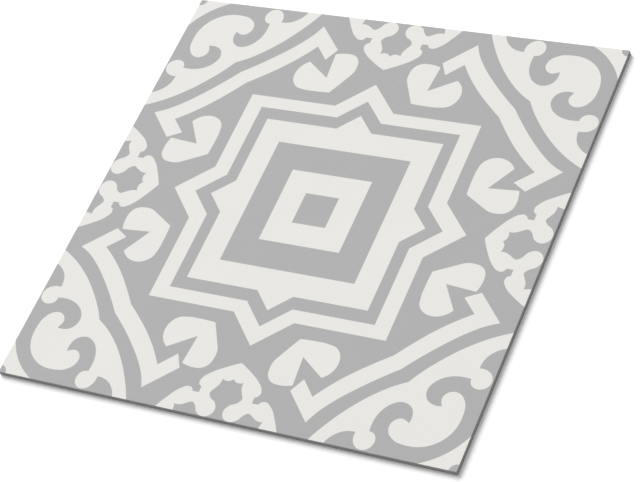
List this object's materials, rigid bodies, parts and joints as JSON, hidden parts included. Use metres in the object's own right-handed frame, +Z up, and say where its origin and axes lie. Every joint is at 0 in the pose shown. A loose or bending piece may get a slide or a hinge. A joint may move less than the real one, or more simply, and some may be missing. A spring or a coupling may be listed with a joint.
{
  "type": "vinyl floor tile",
  "caption": "Thin square vinyl floor tile, printed grey on off-white with a traditional eight-pointed star medallion, scroll corners and half rosettes on its sides.",
  "frame": {"origin": "centre of the back, the face that lies on the subfloor", "axes": "+Z up out of the printed face; +X and +Y along two neighbouring sides of the square"},
  "size_m": [0.3048, 0.3048, 0.0032],
  "materials": {
    "printed_vinyl": "satin clear wear layer over a two-tone print, grey on off-white; the cut sides and the back are plain grey filled vinyl"
  },
  "bodies": {
    "root": {"vinyl_tile": "printed_vinyl"}
  },
  "joints": []
}
